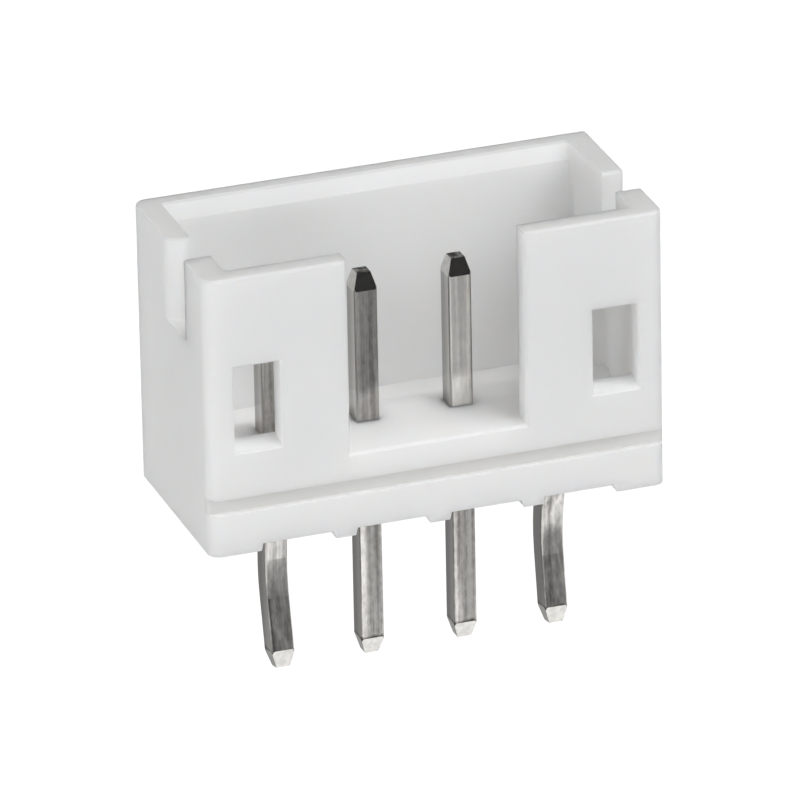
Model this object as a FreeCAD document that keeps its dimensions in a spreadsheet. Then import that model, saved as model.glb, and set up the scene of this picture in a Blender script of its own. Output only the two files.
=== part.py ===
import FreeCAD, Part
import math
import os
import Sketcher

# A four way pin header with a shroud, for a 2 mm pitch plug. The housing is one
# moulded nylon piece that stands on a circuit board, open upwards for the plug.
# Four square tin plated pins pass through its base. The two outer tails are
# kinked, so that the header grips its holes until it is soldered.
# The origin is at the middle of the pin row, on the board's top face. +X runs
# along the row, -Y is the windowed front and +Z is the way the plug comes out.

doc = FreeCAD.newDocument("pin_header")
sheet = doc.addObject("Spreadsheet::Sheet", "Sizes")

SIZES = [
    ("ways", 4, "number of pins"),
    ("pitch", 2.0, "pin centre to pin centre"),
    ("row_to_end", 1.85, "outer pin centre to the end face"),
    ("row_to_front", 1.65, "pin row to the front face"),
    ("housing_depth", 4.5, "front face to back face"),
    ("housing_height", 6.0, "board to the top rim"),
    ("corner_radius", 0.25, "upright outer corners"),
    ("keyed_corner_radius", 0.1, "the sharper upright corner and slot edge at the back right"),
    ("rim_radius", 0.06, "outer edges of the top rim"),
    ("floor_height", 1.8, "board to the floor round the pins"),
    ("well_height", 1.3, "board to the lower floor behind the pins"),
    ("row_to_well", 0.56, "pin row to the step down into the well"),
    ("front_wall", 0.42, "thickness of the two front panels"),
    ("back_wall", 0.55, "thickness of the back wall below its lead in"),
    ("end_wall", 0.56, "thickness of the end walls in front of their slots"),
    ("rear_relief", 0.08, "how much thinner each end wall is behind its slot"),
    ("lead_in_height", 0.35, "height of the sloped rim that guides the plug"),
    ("back_lead_in", 0.19, "how far that slope cuts into the back wall"),
    ("cavity_radius", 0.12, "upright inner corners"),
    ("front_panel_width", 2.98, "end face to the front opening"),
    ("opening_bevel", 0.05, "bevel round the front opening"),
    ("window_width", 0.98, "width of a window"),
    ("window_sill", 2.21, "board to the sill at the front face"),
    ("sill_rise", 0.15, "how far the sill rises through the wall"),
    ("window_top", 4.07, "board to the top of the window"),
    ("window_bevel", 0.03, "bevel round a window"),
    ("slot_front", 1.25, "front face to the slot in an end wall"),
    ("slot_width", 1.0, "width of that slot"),
    ("slot_bottom", 4.25, "board to the bottom of that slot"),
    ("slot_rounding", 0.3, "rounding of the left slot's upright outer edge at the back"),
    ("groove_top", 1.227, "board to the upper edge of the groove in the front"),
    ("groove_bottom", 0.89, "board to its lower edge"),
    ("groove_depth", 0.14, "depth of the groove"),
    ("channel_width", 1.5, "vent channel under a pin, at its ceiling"),
    ("channel_flare", 0.04, "how much each side of a channel opens downwards"),
    ("channel_height", 0.16, "board to the ceiling of a channel"),
    ("pin_width", 0.5, "side of the square pin"),
    ("pin_edge_radius", 0.06, "long edges of a pin"),
    ("pin_top", 5.0, "board to the upper tip"),
    ("tail_length", 3.4, "board to the lower tip of a straight pin"),
    ("tail_length_first", 3.27, "board to the first pin's lower tip"),
    ("tail_length_last", 3.47, "board to the last pin's lower tip"),
    ("tip_length", 0.36, "length of the four sided taper"),
    ("tip_width", 0.29, "side of the flat at each tip"),
    ("kink_drop", 1.4, "board to the apex of the kink"),
    ("kink_radius", 3.0, "bend radius at the apex, on the pin's axis"),
    ("root_radius", 0.6, "bend radius where the tail leaves the base"),
    ("kink_offset_first", 0.11, "how far the first pin's kink stands back"),
    ("kink_offset_last", 0.36, "how far the last pin's kink stands back"),
    ("tip_offset_first", -0.32, "where the first pin's lower tip ends up"),
    ("tip_offset_last", 0.03, "where the last pin's lower tip ends up"),
]
for row, (alias, size, meaning) in enumerate(SIZES, 1):
    sheet.set(f"A{row}", meaning)
    sheet.set(f"B{row}", str(size))
    sheet.setAlias(f"B{row}", alias)
doc.recompute()

NEAR = 1e-6

# Sketcher's numbers for the points of a curve.
POINT = {"start": 1, "end": 2, "centre": 3}

# Places that several features share, worked out from the sheet.
HALF_LENGTH = "(Sizes.pitch * (Sizes.ways - 1) / 2 + Sizes.row_to_end)"
HALF_ROW = "(Sizes.pitch * (Sizes.ways - 1) / 2)"
FRONT = "(-Sizes.row_to_front)"
BACK = "(Sizes.housing_depth - Sizes.row_to_front)"
CAVITY_FRONT = "(Sizes.front_wall - Sizes.row_to_front)"
CAVITY_BACK = f"({BACK} - Sizes.back_wall)"
CAVITY_END = f"({HALF_LENGTH} - Sizes.end_wall)"
REAR_END = f"({CAVITY_END} + Sizes.rear_relief)"
SLOT_FRONT = f"({FRONT} + Sizes.slot_front)"
SLOT_BACK = f"({SLOT_FRONT} + Sizes.slot_width)"
SLOT_MIDDLE = f"({SLOT_FRONT} + Sizes.slot_width / 2)"
TOP = "Sizes.housing_height"


def number(expression):
    """The value that an expression has in the sheet, as a plain number."""
    return float(sheet.evalExpression(expression.replace("Sizes.", "")))


def sketch_on(body, role, label, away="0", turn=None):
    """A sketch on one of the body's own planes, moved along its normal and perhaps turned."""
    sketch = body.newObject("Sketcher::SketchObject", label)
    plane = [feature for feature in body.Origin.OriginFeatures if feature.Role == role][0]
    sketch.AttachmentSupport = (plane, [""])
    sketch.MapMode = "FlatFace"
    if turn is not None:
        axis, angle = turn
        sketch.AttachmentOffset = FreeCAD.Placement(FreeCAD.Vector(), FreeCAD.Rotation(axis, 1.0))
        sketch.setExpression("AttachmentOffset.Rotation.Angle", angle)
    sketch.setExpression("AttachmentOffset.Base.z", away)
    return sketch


def tie(sketch, curve, point, place):
    """Ties a point of a curve to a pair of expressions."""
    for kind, expression in zip(("DistanceX", "DistanceY"), place):
        index = sketch.addConstraint(Sketcher.Constraint(kind, curve, point, number(expression)))
        sketch.setExpression(f"Constraints[{index}]", expression)


def polygon(sketch, corners):
    """A closed outline of straight lines through corners given as pairs of expressions."""
    points = [FreeCAD.Vector(number(across), number(up), 0) for across, up in corners]
    first = sketch.GeometryCount
    count = len(points)
    for index in range(count):
        sketch.addGeometry(Part.LineSegment(points[index], points[(index + 1) % count]))
    for index in range(count):
        side, following = first + index, first + (index + 1) % count
        sketch.addConstraint(Sketcher.Constraint("Coincident", side, POINT["end"], following, POINT["start"]))
        tie(sketch, side, POINT["start"], corners[index])


def rectangle(sketch, left, right, low, high):
    """A rectangle between four expressions."""
    polygon(sketch, [(left, low), (right, low), (right, high), (left, high)])


def rounded_rectangle(sketch, left, right, low, high, radius, far_radius=None):
    """A rectangle between four expressions with arcs for corners; the one at right and high may differ."""
    far = far_radius or radius
    radii = [radius, far, radius, radius]
    centres = [
        (f"{right} - {radius}", f"{low} + {radius}"),
        (f"{right} - {far}", f"{high} - {far}"),
        (f"{left} + {radius}", f"{high} - {radius}"),
        (f"{left} + {radius}", f"{low} + {radius}"),
    ]
    first = sketch.GeometryCount
    arcs = []
    for quarter, (across, up) in enumerate(centres):
        middle = FreeCAD.Vector(number(across), number(up), 0)
        circle = Part.Circle(middle, FreeCAD.Vector(0, 0, 1), number(radii[quarter]))
        begin = (quarter - 1) * math.pi / 2
        arcs.append(Part.ArcOfCircle(circle, begin, begin + math.pi / 2))
    for arc in arcs:
        sketch.addGeometry(arc)
    for quarter in range(4):
        side = Part.LineSegment(arcs[quarter].EndPoint, arcs[(quarter + 1) % 4].StartPoint)
        sketch.addGeometry(side)
    for quarter, place in enumerate(centres):
        arc, side, following = first + quarter, first + 4 + quarter, first + (quarter + 1) % 4
        tie(sketch, arc, POINT["centre"], place)
        sketch.addConstraint(Sketcher.Constraint("Tangent", arc, POINT["end"], side, POINT["start"]))
        sketch.addConstraint(Sketcher.Constraint("Tangent", side, POINT["end"], following, POINT["start"]))
        index = sketch.addConstraint(Sketcher.Constraint("Radius", arc, number(radii[quarter])))
        sketch.setExpression(f"Constraints[{index}]", radii[quarter])


def pad(body, sketch, length):
    """Material from a sketch along its normal."""
    feature = body.newObject("PartDesign::Pad", "Pad")
    feature.Profile = sketch
    feature.setExpression("Length", length)
    return finished(body, feature, 1)


def pocket(body, sketch, length=None, upwards=False, taper=0):
    """A cut from a sketch against its normal, or right through both ways with no length."""
    feature = body.newObject("PartDesign::Pocket", "Pocket")
    feature.Profile = sketch
    if length is None:
        feature.Type = "ThroughAll"
        feature.Midplane = True
    else:
        feature.setExpression("Length", length)
        feature.Reversed = upwards
        feature.TaperAngle = taper
    return finished(body, feature, -1)


def finished(body, feature, sign):
    """Recomputes a feature and makes sure that it added material, or took some away."""
    before = body.Tip.BaseFeature.Shape.Volume if body.Tip.BaseFeature else 0.0
    doc.recompute()
    change = feature.Shape.Volume - before
    if change * sign <= NEAR:
        raise RuntimeError(f"{body.Label} {feature.Name} changed the volume by {change:.6f}")
    return feature


def edges_where(shape, chosen):
    """The names of the edges of a shape that pass a test of their bounding box."""
    return [f"Edge{index}" for index, edge in enumerate(shape.Edges, 1) if chosen(edge.BoundBox)]


def repeated(body, kind, label, originals):
    """A pattern or a mirror of some features, which becomes the body's tip."""
    feature = body.newObject(kind, label)
    feature.Originals = originals
    axes = {item.Role: item for item in body.Origin.OriginFeatures}
    if kind == "PartDesign::Mirrored":
        feature.MirrorPlane = (axes["YZ_Plane"], [""])
    else:
        feature.Direction = (axes["X_Axis"], [""])
        feature.setExpression("Length", f"{HALF_ROW} * 2")
        feature.setExpression("Occurrences", "Sizes.ways")
    body.Tip = feature
    doc.recompute()
    return feature


def rounded(body, label, chosen, radius):
    """Rounds the edges of the body's latest feature that pass a test of their bounding box."""
    base = body.Tip
    feature = body.newObject("PartDesign::Fillet", label)
    feature.Base = (base, edges_where(base.Shape, chosen))
    feature.setExpression("Radius", radius)
    return finished(body, feature, -1)


def moulded_block(body):
    """The housing before it is hollowed: a block with a slot down each end and a rounded top rim."""
    outline = sketch_on(body, "XY_Plane", "HousingOutline")
    rounded_rectangle(outline, f"-{HALF_LENGTH}", HALF_LENGTH, FRONT, BACK,
                      "Sizes.corner_radius", "Sizes.keyed_corner_radius")
    pad(body, outline, TOP)

    section = sketch_on(body, "YZ_Plane", "SlotSection")
    rectangle(section, SLOT_FRONT, SLOT_BACK, "Sizes.slot_bottom", TOP)
    pocket(body, section)
    end, rear = number(HALF_LENGTH), number(SLOT_BACK)
    for label, place, radius in (("LeftSlotRounding", -end, "Sizes.slot_rounding"),
                                 ("RightSlotRounding", end, "Sizes.keyed_corner_radius")):
        rounded(body, label, lambda box: box.XLength < NEAR and box.YLength < NEAR
                and abs(box.XMin - place) < NEAR and abs(box.YMin - rear) < NEAR, radius)

    top, front = number(TOP), number(SLOT_FRONT)
    rounded(body, "RoundedRim", lambda box: box.ZMin > top - NEAR
            and abs(box.YMin - front) + abs(box.YMax - front) > NEAR * 4, "Sizes.rim_radius")


def plug_cavity(body):
    """The space for the plug: a floor, wider behind the slots, a deeper well and a sloped lead in."""
    cavity = sketch_on(body, "XY_Plane", "CavityOutline", TOP)
    left = f"-{CAVITY_END}"
    rounded_rectangle(cavity, left, CAVITY_END, CAVITY_FRONT, CAVITY_BACK, "Sizes.cavity_radius")
    pocket(body, cavity, f"{TOP} - Sizes.floor_height")

    relief = sketch_on(body, "XY_Plane", "ReliefOutline", TOP)
    wide_left = f"-{REAR_END}"
    rounded_rectangle(relief, wide_left, REAR_END, SLOT_MIDDLE, CAVITY_BACK, "Sizes.cavity_radius")
    pocket(body, relief, f"{TOP} - Sizes.floor_height")

    well = sketch_on(body, "XY_Plane", "WellOutline", TOP)
    rounded_rectangle(well, wide_left, REAR_END, "Sizes.row_to_well", CAVITY_BACK, "Sizes.cavity_radius")
    pocket(body, well, f"{TOP} - Sizes.well_height")

    lower = sketch_on(body, "XY_Plane", "LeadInLower", f"{TOP} - Sizes.lead_in_height")
    rounded_rectangle(lower, wide_left, REAR_END, SLOT_MIDDLE, CAVITY_BACK, "Sizes.cavity_radius")
    upper = sketch_on(body, "XY_Plane", "LeadInUpper", TOP)
    rear = f"({CAVITY_BACK} + Sizes.back_lead_in)"
    rounded_rectangle(upper, wide_left, REAR_END, SLOT_MIDDLE, rear, "Sizes.cavity_radius")
    slope = body.newObject("PartDesign::SubtractiveLoft", "LeadIn")
    slope.Profile = lower
    slope.Sections = [upper]
    slope.Ruled = True
    finished(body, slope, -1)


def front_opening(body):
    """The gap between the two front panels, down to the floor, with a bevelled edge."""
    half = f"({HALF_LENGTH} - Sizes.front_panel_width)"
    gap = sketch_on(body, "XZ_Plane", "OpeningOutline", "Sizes.row_to_front")
    rectangle(gap, f"-{half}", half, "Sizes.floor_height", f"{TOP} + Sizes.front_wall")
    pocket(body, gap, "Sizes.front_wall")

    bevel = sketch_on(body, "XZ_Plane", "OpeningBevel", "Sizes.row_to_front")
    wide = f"({half} + Sizes.opening_bevel)"
    low = "Sizes.floor_height - Sizes.opening_bevel"
    rectangle(bevel, f"-{wide}", wide, low, f"{TOP} + Sizes.front_wall")
    pocket(body, bevel, "Sizes.opening_bevel", taper=-45)


def windows(body):
    """A window near each end of the front, flush with the end wall inside; its sill rises inwards."""
    near = f"({CAVITY_END} - Sizes.window_width)"
    section = sketch_on(body, "YZ_Plane", "WindowSection", CAVITY_END)
    inner_sill = "Sizes.window_sill + Sizes.sill_rise"
    past_corner = f"({CAVITY_FRONT} + Sizes.cavity_radius)"
    polygon(section, [
        (FRONT, "Sizes.window_sill"),
        (CAVITY_FRONT, inner_sill),
        (past_corner, inner_sill),
        (past_corner, "Sizes.window_top"),
        (FRONT, "Sizes.window_top"),
    ])
    window = pocket(body, section, "Sizes.window_width")

    rim = sketch_on(body, "XZ_Plane", "WindowBevel", "Sizes.row_to_front")
    low = "Sizes.window_sill - Sizes.window_bevel"
    high = "Sizes.window_top + Sizes.window_bevel"
    rectangle(rim, f"{near} - Sizes.window_bevel", f"{CAVITY_END} + Sizes.window_bevel", low, high)
    bevel = pocket(body, rim, "Sizes.window_bevel", taper=-45)
    repeated(body, "PartDesign::Mirrored", "OtherWindow", [window, bevel])


def front_groove(body):
    """The shallow groove across the front, above the base strip."""
    section = sketch_on(body, "YZ_Plane", "GrooveSection")
    depth = f"({FRONT} + Sizes.groove_depth)"
    rectangle(section, FRONT, depth, "Sizes.groove_bottom", "Sizes.groove_top")
    pocket(body, section)


def pin_places(body):
    """A hole through the base and a vent channel under it, repeated along the row."""
    channel = sketch_on(body, "XZ_Plane", "ChannelSection")
    narrow = "Sizes.channel_width / 2"
    wide = f"{narrow} + Sizes.channel_flare"
    polygon(channel, [
        (f"-{HALF_ROW} - ({wide})", "0"),
        (f"-{HALF_ROW} + {wide}", "0"),
        (f"-{HALF_ROW} + {narrow}", "Sizes.channel_height"),
        (f"-{HALF_ROW} - {narrow}", "Sizes.channel_height"),
    ])
    vent = pocket(body, channel)

    seat = sketch_on(body, "XY_Plane", "PinHoleOutline")
    half = "Sizes.pin_width / 2"
    rounded_rectangle(seat, f"-{HALF_ROW} - {half}", f"-{HALF_ROW} + {half}",
                      f"-{half}", half, "Sizes.pin_edge_radius")
    hole = pocket(body, seat, "Sizes.floor_height", upwards=True)
    repeated(body, "PartDesign::LinearPattern", "PinPlaces", [vent, hole])


def housing():
    """The moulded housing, cut from one block in the order of its features."""
    body = doc.addObject("PartDesign::Body", "housing")
    body.Label = "housing"
    moulded_block(body)
    plug_cavity(body)
    front_opening(body)
    windows(body)
    front_groove(body)
    pin_places(body)
    return body


def tail_route(body, offset, tip, length):
    """The kinked axis of an outer pin: down, back to the apex, then forward to its tip."""
    route = sketch_on(body, "YZ_Plane", "TailRoute")
    top, bottom, drop = number("Sizes.pin_top"), -number(length), -number("Sizes.kink_drop")
    corners = [
        FreeCAD.Vector(0, top, 0),
        FreeCAD.Vector(0, 0, 0),
        FreeCAD.Vector(number(offset), drop, 0),
        FreeCAD.Vector(number(tip), bottom, 0),
    ]
    for start, finish in zip(corners, corners[1:]):
        route.addGeometry(Part.LineSegment(start, finish))
    shank, back_leg, front_leg = 0, 1, 2
    route.addConstraint(Sketcher.Constraint("Coincident", shank, POINT["end"], back_leg, POINT["start"]))
    route.addConstraint(Sketcher.Constraint("Coincident", back_leg, POINT["end"], front_leg, POINT["start"]))
    tie(route, shank, POINT["start"], ("0", "Sizes.pin_top"))
    tie(route, shank, POINT["end"], ("0", "0"))
    tie(route, front_leg, POINT["start"], (offset, "-Sizes.kink_drop"))
    tie(route, front_leg, POINT["end"], (tip, f"-({length})"))
    for first, second, alias in ((shank, back_leg, "root_radius"), (back_leg, front_leg, "kink_radius")):
        radius = f"Sizes.{alias}"
        arc = route.GeometryCount
        route.fillet(first, second, corners[first], corners[second + 1], number(radius), True, True)
        index = route.addConstraint(Sketcher.Constraint("Radius", arc, number(radius)))
        route.setExpression(f"Constraints[{index}]", radius)
    return route


def tapered_tip(body, upwards, lean, end):
    """Four facets at one end of a pin, square to its axis there, which may lean."""
    half, flat = "Sizes.pin_width / 2", "Sizes.tip_width / 2"
    sign = "" if upwards else "-"
    across, along = end
    for role, axis in (("YZ_Plane", FreeCAD.Vector(0, 0, 1)), ("XZ_Plane", FreeCAD.Vector(1, 0, 0))):
        wedge = sketch_on(body, role, "TipFacets", "0", (axis, lean))
        wedge.setExpression("AttachmentOffset.Base.y", along)
        if role == "YZ_Plane":
            wedge.setExpression("AttachmentOffset.Base.x", across)
        else:
            wedge.setExpression("AttachmentOffset.Base.z", f"-({across})")
        for side in ("", "-"):
            polygon(wedge, [
                (f"{side}{half}", f"-({sign}Sizes.tip_length)"),
                (f"{side}{half}", "0"),
                (f"{side}{flat}", "0"),
            ])
        pocket(body, wedge)


def contact_pin(index):
    """One square pin: a straight shank, a straight or kinked tail and two tapered tips."""
    body = doc.addObject("PartDesign::Body", f"contact_pin_{index}")
    body.Label = f"contact_pin_{index}"
    end_name = {1: "first", int(number("Sizes.ways")): "last"}.get(index)
    half = "Sizes.pin_width / 2"
    section = sketch_on(body, "XY_Plane", "PinSection", "Sizes.pin_top")
    rounded_rectangle(section, f"-{half}", half, f"-{half}", half, "Sizes.pin_edge_radius")
    if end_name:
        offset, tip = f"Sizes.kink_offset_{end_name}", f"Sizes.tip_offset_{end_name}"
        length = f"Sizes.tail_length_{end_name}"
        sweep = body.newObject("PartDesign::AdditivePipe", "KinkedPin")
        sweep.Profile = section
        sweep.Spine = tail_route(body, offset, tip, length)
        finished(body, sweep, 1)
        lean = f"-atan(({offset} - ({tip})) / ({length} - Sizes.kink_drop))"
    else:
        tip, length, lean = "0", "Sizes.tail_length", "0"
        straight = body.newObject("PartDesign::Pad", "StraightPin")
        straight.Profile = section
        straight.Reversed = True
        straight.setExpression("Length", f"Sizes.pin_top + {length}")
        finished(body, straight, 1)
    tapered_tip(body, True, "0", ("0", "Sizes.pin_top"))
    tapered_tip(body, False, lean, (tip, f"-{length}"))
    body.setExpression("Placement.Base.x", f"{index - 1} * Sizes.pitch - {HALF_ROW}")
    return body


pieces = [housing()]
for index in range(1, int(number("Sizes.ways")) + 1):
    pieces.append(contact_pin(index))
doc.recompute()

for item in doc.Objects:
    if "Invalid" in item.State or "Error" in item.State:
        raise RuntimeError(f"{item.Label} failed: {item.State}")
for piece in pieces:
    shape = piece.Shape
    if shape.isNull() or not shape.isValid() or len(shape.Solids) != 1:
        raise RuntimeError(f"{piece.Label} is not one valid solid")

os.makedirs("parts", exist_ok=True)
for piece in pieces:
    piece.Shape.exportStep(f"parts/{piece.Label}.step")
    print(f"{piece.Label}: volume {piece.Shape.Volume:.4f} mm3")
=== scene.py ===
import math

import bpy
from mathutils import Matrix, Vector


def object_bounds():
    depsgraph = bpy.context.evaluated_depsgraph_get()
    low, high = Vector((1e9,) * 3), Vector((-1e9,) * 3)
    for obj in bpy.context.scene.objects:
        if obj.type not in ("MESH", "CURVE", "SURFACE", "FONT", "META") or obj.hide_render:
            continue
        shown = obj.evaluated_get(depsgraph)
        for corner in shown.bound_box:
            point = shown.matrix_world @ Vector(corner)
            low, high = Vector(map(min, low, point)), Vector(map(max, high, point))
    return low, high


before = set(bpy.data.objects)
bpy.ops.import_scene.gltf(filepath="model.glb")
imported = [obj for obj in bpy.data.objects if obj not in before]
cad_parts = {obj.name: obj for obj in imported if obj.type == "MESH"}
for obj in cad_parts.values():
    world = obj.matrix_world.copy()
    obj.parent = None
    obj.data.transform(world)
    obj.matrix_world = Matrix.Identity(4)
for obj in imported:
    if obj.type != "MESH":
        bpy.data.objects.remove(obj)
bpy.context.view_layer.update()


# The housing: one white shroud with a floor, two windowed front panels, slotted ends and
# vent channels underneath. It is injection moulded in glass filled nylon, from a finely
# spark eroded mould, so it is matt and a little translucent, with faint flow marks.

def linear(code):
    """An sRGB hex colour as the linear colour that a shader takes."""
    parts = [int(code[place:place + 2], 16) / 255 for place in (1, 3, 5)]
    return [part / 12.92 if part <= 0.04045 else ((part + 0.055) / 1.055) ** 2.4 for part in parts] + [1]


def new_material(name):
    """An empty node material and its output."""
    material = bpy.data.materials.new(name)
    material.use_nodes = True
    material.node_tree.nodes.clear()
    return material, material.node_tree.nodes.new("ShaderNodeOutputMaterial")


def add(tree, kind, settings=None, **inputs):
    """Adds a node. Settings are its properties, inputs are values or the sockets that feed them.

    An input is called by its name, or by its number as in _0."""
    node = tree.nodes.new(kind)
    for name, value in (settings or {}).items():
        setattr(node, name, value)
    for name, value in inputs.items():
        socket = node.inputs[int(name[1:])] if name[1:].isdigit() else node.inputs[name.replace("_", " ")]
        if isinstance(value, bpy.types.NodeSocket):
            tree.links.new(value, socket)
        else:
            socket.default_value = value
    return node


def maths(tree, operation, *values):
    """The result of a Math node."""
    numbered = {f"_{number}": value for number, value in enumerate(values)}
    return add(tree, "ShaderNodeMath", {"operation": operation}, **numbered).outputs[0]


def ramp(tree, value, start, end, at_start=0.0, at_end=1.0):
    """A result that goes from one number to another while a value goes from start to end."""
    return add(tree, "ShaderNodeMapRange", Value=value, From_Min=start, From_Max=end,
               To_Min=at_start, To_Max=at_end).outputs[0]


def between(tree, share, first, second):
    """A colour between two tones, each an sRGB hex colour or a socket."""
    first, second = (linear(tone) if isinstance(tone, str) else tone for tone in (first, second))
    return add(tree, "ShaderNodeMix", {"data_type": "RGBA"}, _0=share, _6=first, _7=second).outputs[2]


def moulded_nylon():
    """Satin off-white nylon: soft light through thin walls, a fine spark eroded grain, faint flow marks.

    The bottom of the groove and the top of the rim are painted a little greyer, as painted shade."""
    flow_mark = 0.0016
    grain, grain_depth = 0.00005, 0.000004
    groove_middle, groove_half = 0.00106, 0.00017
    front, groove_reach = -0.0016, 0.0003
    rim = 0.006
    blend = 0.00003
    scatter = 0.0008

    material, output = new_material("moulded_nylon_spark_eroded")
    tree = material.node_tree
    place = add(tree, "ShaderNodeTexCoord").outputs["Object"]
    spot = add(tree, "ShaderNodeSeparateXYZ", Vector=place).outputs
    flow = add(tree, "ShaderNodeTexNoise", Vector=place, Scale=1 / flow_mark, Detail=3.0,
               Distortion=0.6).outputs["Fac"]
    skin = between(tree, flow, "#f8f8f7", "#fbfbfa")

    # Painted shade: the groove band in the front face and the top of the rim are tinted greyer.
    off_middle = maths(tree, "ABSOLUTE", maths(tree, "SUBTRACT", spot["Z"], groove_middle))
    level_with = ramp(tree, off_middle, groove_half - blend, groove_half + blend, 1.0, 0.0)
    behind_skin = maths(tree, "GREATER_THAN", spot["Y"], front)
    near_front = maths(tree, "LESS_THAN", spot["Y"], front + groove_reach)
    groove_painted_shade = maths(tree, "MULTIPLY", maths(tree, "MULTIPLY", behind_skin, near_front), level_with)
    rim_painted_shade = ramp(tree, spot["Z"], rim - 2 * blend, rim - blend)
    tint = between(tree, rim_painted_shade, between(tree, groove_painted_shade, skin, "#ebebea"), "#e6e6e5")

    pits = add(tree, "ShaderNodeTexNoise", Vector=place, Scale=1 / grain, Detail=2.0).outputs["Fac"]
    bump = add(tree, "ShaderNodeBump", Height=pits, Distance=grain_depth, Strength=0.25).outputs[0]
    gloss = ramp(tree, flow, 0.0, 1.0, 0.58, 0.68)
    shader = add(tree, "ShaderNodeBsdfPrincipled", Base_Color=tint, Roughness=gloss, Normal=bump, IOR=1.53,
                 Subsurface_Weight=1.0, Subsurface_Scale=scatter, Subsurface_Radius=(1.0, 0.95, 0.9))
    tree.links.new(shader.outputs[0], output.inputs["Surface"])
    return material


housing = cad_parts["housing"]
housing.data.materials.clear()
housing.data.materials.append(moulded_nylon())


# The four pins: square wire, drawn, cut and coined to a taper at both ends, then tin plated.
# The drawn faces keep lengthwise lines and flecks, the sides and their rounded edges are duller as painted
# shade, the coined tapers are clean and bright, and the cut ends are torn. They are pressed into the
# housing's floor.

def drawn_noise(tree, place, width, length, **settings):
    """Noise in marks of a given width, and of a given length along the wire."""
    stretched = add(tree, "ShaderNodeMapping", Vector=place, Scale=(1 / width, 1 / width, 1 / length))
    return add(tree, "ShaderNodeTexNoise", Vector=stretched.outputs[0], Scale=1.0, Detail=2.0,
               **settings).outputs["Fac"]


def streaked_tin(name, contact, tail, shoulder, tail_roll):
    """Tin over drawn brass, with a dull and a bright tone for the contact and for the tail.

    A ragged dark line runs along the shoulder, where the lower taper starts, as painted shade. The wire's
    long edges are rolled, on the tail as much as told and on the contact little."""
    pitch, half_width = 0.002, 0.00025
    rolled_edge, roll_depth, contact_roll = 0.0002, 0.00005, 0.35
    streak_width, streak_length = 0.0001, 0.004
    fleck_width, fleck_length = 0.00009, 0.0002
    wear_depth = 0.000004
    side_shade_from, side_shade_full = -0.0003, 0.00005
    shoulder_shade_width = 0.00007

    material, output = new_material(name)
    tree = material.node_tree
    coordinates = add(tree, "ShaderNodeTexCoord").outputs
    place = coordinates["Object"]
    spot = add(tree, "ShaderNodeSeparateXYZ", Vector=place).outputs
    facing = add(tree, "ShaderNodeSeparateXYZ", Vector=coordinates["Normal"]).outputs
    above_board = maths(tree, "GREATER_THAN", spot["Z"], 0.0)

    streaks = drawn_noise(tree, place, streak_width, streak_length)
    flecks = drawn_noise(tree, place, fleck_width, fleck_length, Roughness=0.6)
    wear = add(tree, "ShaderNodeMix", _0=0.3, _2=streaks, _3=flecks).outputs[0]
    shade = ramp(tree, wear, 0.34, 0.64)
    drawn = between(tree, above_board, between(tree, shade, *tail), between(tree, shade, *contact))

    # Painted shade: the contact's rounded edges are a flat mid grey, and the side faces go darker towards
    # the back.
    sideways = maths(tree, "ABSOLUTE", facing["X"])
    edge_painted_shade = maths(tree, "MULTIPLY", ramp(tree, sideways, 0.15, 0.5), above_board)
    side = between(tree, ramp(tree, spot["Y"], side_shade_from, side_shade_full), "#cccac6", "#9c9a97")
    body = between(tree, ramp(tree, sideways, 0.7, 0.95), between(tree, edge_painted_shade, drawn, "#a8a6a2"), side)
    # Painted shade: a ragged dark line along the shoulder, where the lower taper starts.
    ragged = maths(tree, "MULTIPLY_ADD", flecks, -2 * shoulder_shade_width, spot["Z"])
    tint = between(tree, ramp(tree, ragged, shoulder - shoulder_shade_width, shoulder, 1.0, 0.0), body, "#4e4c49")

    from_inner_pin = maths(tree, "SUBTRACT", spot["X"], pitch / 2)
    off_axis = maths(tree, "ABSOLUTE", maths(tree, "WRAP", from_inner_pin, pitch / 2, -pitch / 2))
    rolled = maths(tree, "POWER", ramp(tree, off_axis, half_width - rolled_edge, half_width), 1.6)
    roll = add(tree, "ShaderNodeMix", _0=above_board, _2=tail_roll, _3=contact_roll).outputs[0]
    rounding = add(tree, "ShaderNodeBump", {"invert": True}, Height=rolled, Distance=roll_depth,
                   Strength=roll)
    bump = add(tree, "ShaderNodeBump", Height=wear, Distance=wear_depth, Strength=0.4,
               Normal=rounding.outputs[0])
    gloss = ramp(tree, wear, 0.0, 1.0, 0.26, 0.1)
    shader = add(tree, "ShaderNodeBsdfPrincipled", Base_Color=tint, Metallic=1.0, Roughness=gloss,
                 Normal=bump.outputs[0])
    tree.links.new(shader.outputs[0], output.inputs["Surface"])
    return material


def tip_tin(name, dull, bright, roughness, relief):
    """Tin on a coined or a cut face, mottled between two tones."""
    mottle = 0.00013
    material, output = new_material(name)
    tree = material.node_tree
    place = add(tree, "ShaderNodeTexCoord").outputs["Object"]
    patches = add(tree, "ShaderNodeTexNoise", Vector=place, Scale=1 / mottle, Detail=3.0,
                  Roughness=0.6).outputs["Fac"]
    tint = between(tree, ramp(tree, patches, 0.4, 0.6), dull, bright)
    bump = add(tree, "ShaderNodeBump", Height=patches, Distance=relief, Strength=0.5).outputs[0]
    shader = add(tree, "ShaderNodeBsdfPrincipled", Base_Color=tint, Metallic=1.0, Roughness=roughness,
                 Normal=bump)
    tree.links.new(shader.outputs[0], output.inputs["Surface"])
    return material


coined_tin = tip_tin("coined_tin", "#cac8c4", "#d8d6d2", 0.12, 0.000003)
torn_tin = tip_tin("torn_cut_tin", "#4a4845", "#d2d0cc", 0.35, 0.00001)
middle_height = 0.0008
to_tapers = 0.0037
upright = 0.8

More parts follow.
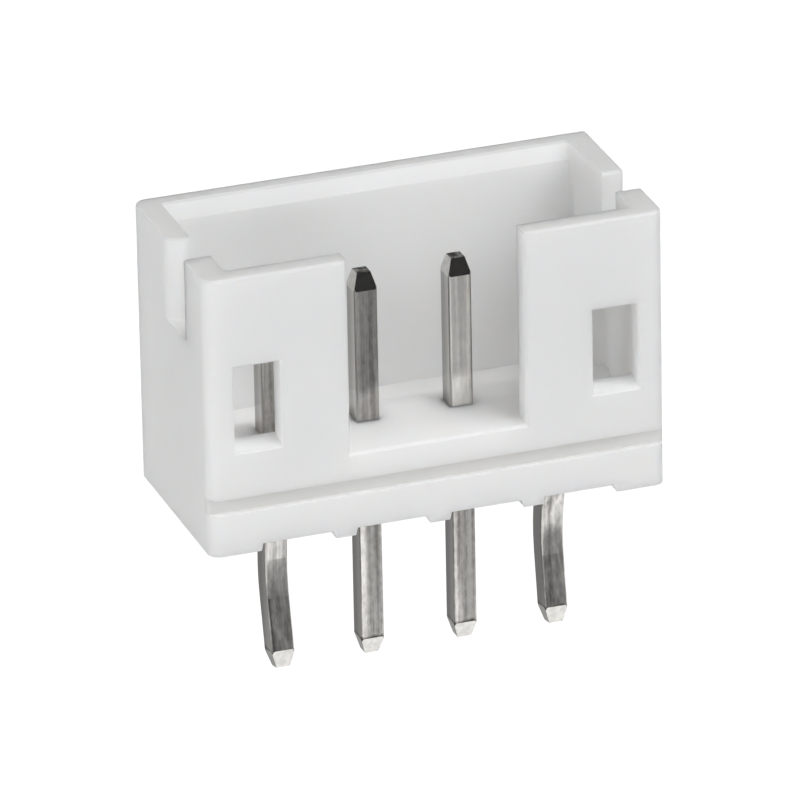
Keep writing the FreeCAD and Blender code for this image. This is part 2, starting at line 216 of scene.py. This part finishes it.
for name, contact, tail, shoulder, tail_roll in (
        # Pin 1's tail tones are lighter than the other tails': painted light for the brighter upper leg of
        # its kinked tail.
        ("contact_pin_1", ("#7a7875", "#cccac6"), ("#a09e9a", "#e2e0dc"), -0.00291, 0.5),
        ("contact_pin_2", ("#82807c", "#bfbdba"), ("#8d8a86", "#e2e0dc"), -0.00304, 1.0),
        ("contact_pin_3", ("#cfcdc9", "#f5f3ef"), ("#8d8a86", "#e2e0dc"), -0.00304, 1.0),
        ("contact_pin_4", ("#8d8a86", "#e2e0dc"), ("#858380", "#d6d4d0"), -0.00311, 0.5)):
    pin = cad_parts[name]
    drawn_tin = streaked_tin(f"tin_plated_brass_{name[-1]}", contact, tail, shoulder, tail_roll)
    pin.data.materials.clear()
    for tin in (drawn_tin, coined_tin, torn_tin):
        pin.data.materials.append(tin)
    for face in pin.data.polygons:
        at_tip = abs(face.center.z - middle_height) > to_tapers
        face.material_index = (2 if abs(face.normal.z) > upright else 1) if at_tip else 0


# The studio: the header hangs over a strip of white paper on a grey table with a ledge, among
# soft boxes. The camera sees them as plain white with the header's shadow, and the room's far
# wall as white too. The metal shows the paper white, the table and the ledge grey.

def ground(name, tone, in_metal, edge_in_metal, width):
    """Matt paper or laminate, plain white to the camera and in its own tone in the metal.

    To the camera it is a shade under white near the header, so that the shadow shows there.
    In the metal a strip's long edges fade darker, as painted shade; the strip itself is flat."""
    edge_fade = 0.01
    near_by = 0.05

    material, output = new_material(name)
    tree = material.node_tree
    path = add(tree, "ShaderNodeLightPath").outputs
    reflected = maths(tree, "MAXIMUM", path["Is Glossy Ray"], path["Is Transmission Ray"])
    place = add(tree, "ShaderNodeTexCoord").outputs["Object"]
    off_middle = maths(tree, "ABSOLUTE", add(tree, "ShaderNodeSeparateXYZ", Vector=place).outputs["Y"])
    # Painted shade: in the metal a strip fades darker over its long edges.
    to_metal = ramp(tree, off_middle, width / 2 - edge_fade, width / 2, in_metal, edge_in_metal)
    position = add(tree, "ShaderNodeNewGeometry").outputs["Position"]
    away = add(tree, "ShaderNodeVectorMath", {"operation": "LENGTH"}, _0=position).outputs["Value"]
    to_camera = ramp(tree, away, near_by, 2 * near_by, 0.9, 1.0)

    glow = add(tree, "ShaderNodeMix", _0=reflected, _2=to_camera, _3=to_metal).outputs[0]
    shown = add(tree, "ShaderNodeEmission", Color=(1, 1, 1, 1), Strength=glow)
    faint = add(tree, "ShaderNodeBsdfDiffuse", Color=(0.3, 0.3, 0.3, 1))
    bright = add(tree, "ShaderNodeAddShader", _0=shown.outputs[0], _1=faint.outputs[0])
    matt = add(tree, "ShaderNodeBsdfDiffuse", Color=linear(tone))
    seen = maths(tree, "MAXIMUM", path["Is Camera Ray"], reflected)
    mixed = add(tree, "ShaderNodeMixShader", _0=seen, _1=matt.outputs[0], _2=bright.outputs[0])
    tree.links.new(mixed.outputs[0], output.inputs["Surface"])
    return material


def plane(name, length, width, centre, tilt, turn, material):
    """A rectangle round a given centre, tilted about X and then turned about Z."""
    across, along = length / 2, width / 2
    mesh = bpy.data.meshes.new(name)
    mesh.from_pydata([(-across, -along, 0), (across, -along, 0), (across, along, 0), (-across, along, 0)],
                     [], [(0, 1, 2, 3)])
    mesh.materials.append(material)
    holder = bpy.data.objects.new(name, mesh)
    holder.location = centre
    holder.rotation_euler = (math.radians(tilt), 0, math.radians(turn))
    bpy.context.collection.objects.link(holder)


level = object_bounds()[0].z - 0.02
strip_width, table_width, ledge_height = 0.066, 1.6, 0.14
plane("paper_strip", 0.17, strip_width, (0.0045, -0.0065, level), 0, 35,
      ground("white_paper", "#f2f2f2", 0.97, 0.35, strip_width))
plane("grey_table", 1.3, table_width, (0.35, 0.2, level - 0.002), 0, 0,
      ground("grey_laminate", "#bcbcbc", 0.2, 0.2, table_width))
plane("grey_ledge", 1.0, ledge_height, (0.5, -0.6, level), 90, 0,
      ground("grey_board", "#bcbcbc", 0.31, 0.31, ledge_height))

dark_room = 0.03
world = bpy.data.worlds.new("studio_room")
bpy.context.scene.world = world
world.use_nodes = True
wall = world.node_tree.nodes["Background"]
wall.inputs["Color"].default_value = (1, 1, 1, 1)
from_camera = add(world.node_tree, "ShaderNodeLightPath").outputs["Is Camera Ray"]
strength = add(world.node_tree, "ShaderNodeMix", _0=from_camera, _2=dark_room, _3=1.0).outputs[0]
world.node_tree.links.new(strength, wall.inputs["Strength"])


def direction(azimuth, elevation):
    """The unit vector from the header towards a place, in degrees round from the front and up."""
    turn, rise = math.radians(azimuth), math.radians(elevation)
    return Vector((math.sin(turn) * math.cos(rise), -math.cos(turn) * math.cos(rise), math.sin(rise)))


def soft_box(name, azimuth, elevation, distance, size, power, mirrored=True):
    """A square lamp that faces the housing from a given side, and may be kept out of the metal."""
    lamp = bpy.data.lights.new(name, "AREA")
    lamp.size = size
    lamp.energy = power
    holder = bpy.data.objects.new(name, lamp)
    away = direction(azimuth, elevation)
    holder.location = away * distance
    holder.rotation_mode = "QUATERNION"
    holder.rotation_quaternion = away.to_track_quat("Z", "Y")
    holder.visible_glossy = mirrored
    bpy.context.collection.objects.link(holder)


soft_box("key_soft_box", 30, 50, 0.15, 0.12, 0.0925)
soft_box("right_soft_box", 45, 40, 0.15, 0.12, 0.0678)
soft_box("top_soft_box", 0, 85, 0.15, 0.12, 0.052)
soft_box("front_fill", -20, 15, 0.15, 0.10, 0.0361, mirrored=False)
soft_box("left_fill", -80, 0, 0.14, 0.10, 0.1175, mirrored=False)
soft_box("back_fill", 165, 5, 0.16, 0.12, 0.04, mirrored=False)


# The camera stands where the photograph's did, with a long lens well above the board plane,
# and it is turned by a degree about its own axis. The header is a little off its centre.

eye = bpy.data.cameras.new("long_lens")
eye.sensor_width = 36.0
eye.lens = 481.453
eye.clip_start = 0.01
eye.clip_end = 5.0
camera = bpy.data.objects.new("long_lens", eye)
bpy.context.collection.objects.link(camera)
bpy.context.scene.camera = camera
aim = Vector((0.0, 0.00065, 0.003))
distance, shift, drop = 0.2154936, 0.0000147, 0.0011808
back = direction(-19.1224, 24.2398)
roll = math.radians(-1.1409)
right = (-back).cross(Vector((0, 0, 1))).normalized()
up = right.cross(-back)
across = math.cos(roll) * right + math.sin(roll) * up
upwards = math.cos(roll) * up - math.sin(roll) * right
stand = aim + shift * across - drop * upwards + distance * back
camera.matrix_world = Matrix.Translation(stand) @ Matrix((across, upwards, back)).transposed().to_4x4()

bpy.context.scene.view_settings.view_transform = "Standard"
